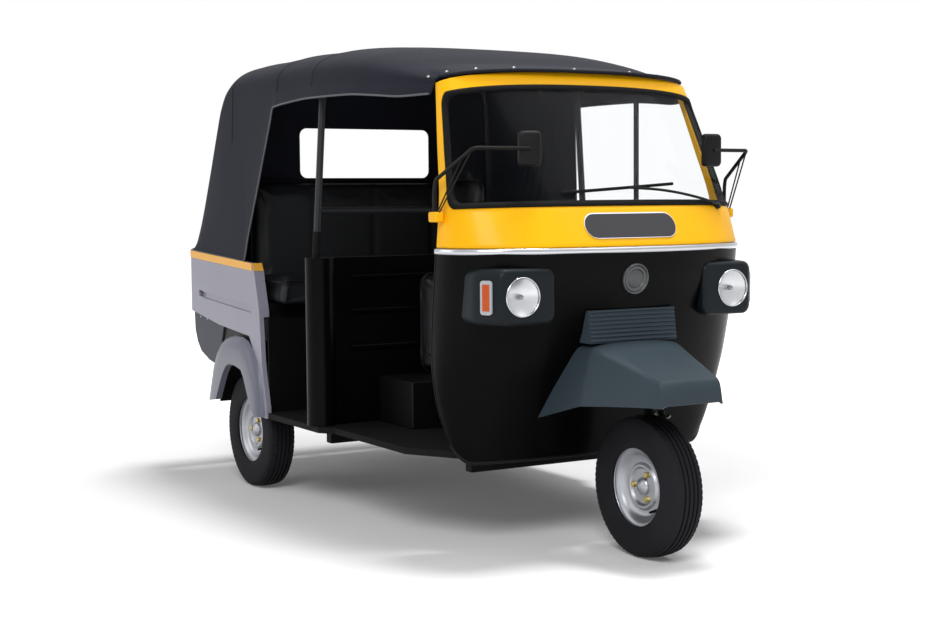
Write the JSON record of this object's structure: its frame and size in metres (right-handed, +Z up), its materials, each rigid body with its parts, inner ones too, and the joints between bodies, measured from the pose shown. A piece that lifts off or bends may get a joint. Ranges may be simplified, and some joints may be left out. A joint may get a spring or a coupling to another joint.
{
  "type": "auto rickshaw",
  "caption": "Three-wheeled passenger auto rickshaw with a black and yellow front body, grey rear panels, a dark fabric canopy, a steered front wheel and a hinged engine hatch.",
  "frame": {"origin": "on the ground, midway along the overall length and between the rear wheels", "axes": "+X forward towards the steered wheel, +Y to the vehicle's left, +Z up"},
  "size_m": [2.898, 1.44, 1.905],
  "materials": {
    "frame_black": "satin",
    "floor_rubber": "matte",
    "body_black": "gloss",
    "bright": "polished",
    "body_yellow": "gloss",
    "gasket": "matte",
    "screen": "clear",
    "cowl_grey": "satin",
    "lens": "clear",
    "amber": "gloss",
    "mirror_black": "satin",
    "pole_grey": "satin",
    "seat_box": "satin",
    "seat_vinyl": "satin",
    "panel_grey": "gloss",
    "stripe": "gloss",
    "fender_grey": "gloss",
    "skirt_grey": "satin",
    "red_lens": "gloss",
    "canopy_cloth": "matte",
    "engine_metal": "cast",
    "spring_red": "gloss",
    "rim_silver": "satin",
    "tyre": "matte"
  },
  "bodies": {
    "body": {"chassis": "frame_black", "floor_pan": "floor_rubber", "nose_shell": "body_black", "chrome_strip": "bright", "screen_frame": "body_yellow", "screen_gasket": "gasket", "windscreen": "screen", "cowl": "cowl_grey", "cowl_ribs": "cowl_grey", "lamp_bezels": "cowl_grey", "lamp_lenses": "lens", "indicators": "amber", "mirror_right": "mirror_black", "mirror_left": "mirror_black", "column_housing": "frame_black", "partition": "body_black", "grab_frame": "pole_grey", "canopy_bows": "pole_grey", "driver_box": "seat_box", "driver_cushion": "seat_vinyl", "driver_back": "seat_vinyl", "rear_box": "seat_box", "rear_cushion": "seat_vinyl", "rear_back": "seat_vinyl", "side_right": "panel_grey", "side_left": "panel_grey", "side_stripes": "stripe", "fenders": "fender_grey", "wheel_houses": "frame_black", "skirts": "skirt_grey", "tail_panel": "panel_grey", "tail_lamps": "red_lens", "canopy_roof": "canopy_cloth", "canopy_rear": "canopy_cloth", "side_curtain": "canopy_cloth", "rear_curtain": "canopy_cloth", "engine": "engine_metal", "spring_towers": "frame_black", "rear_arms": "frame_black", "rear_springs": "spring_red"},
    "steering": {"steering_fork": "frame_black", "front_spring": "spring_red", "handlebar": "mirror_black"},
    "front_wheel": {"front_rim": "rim_silver", "front_tyre": "tyre"},
    "rear_wheel_right": {"rear_rim_right": "rim_silver", "rear_tyre_right": "tyre"},
    "rear_wheel_left": {"rear_rim_left": "rim_silver", "rear_tyre_left": "tyre"},
    "hatch": {"tail_hatch": "panel_grey"}
  },
  "joints": [
    {"name": "steer", "type": "hinge", "parent": "body", "child": "steering", "pos_m": [1.191, 0, 0.2525], "axis": [-0.309, 0, 0.9511], "range_deg": [-40, 40]},
    {"name": "front_spin", "type": "hinge", "parent": "steering", "child": "front_wheel", "pos_m": [1.191, 0, 0.2525], "axis": [0, 1, 0], "continuous": true},
    {"name": "rear_spin_right", "type": "hinge", "parent": "body", "child": "rear_wheel_right", "pos_m": [-0.859, -0.6, 0.2525], "axis": [0, 1, 0], "continuous": true},
    {"name": "rear_spin_left", "type": "hinge", "parent": "body", "child": "rear_wheel_left", "pos_m": [-0.859, 0.6, 0.2525], "axis": [0, 1, 0], "continuous": true},
    {"name": "hatch_hinge", "type": "hinge", "parent": "body", "child": "hatch", "pos_m": [-1.4395, 0, 0.956], "axis": [0, 1, 0], "range_deg": [0, 75]}
  ]
}
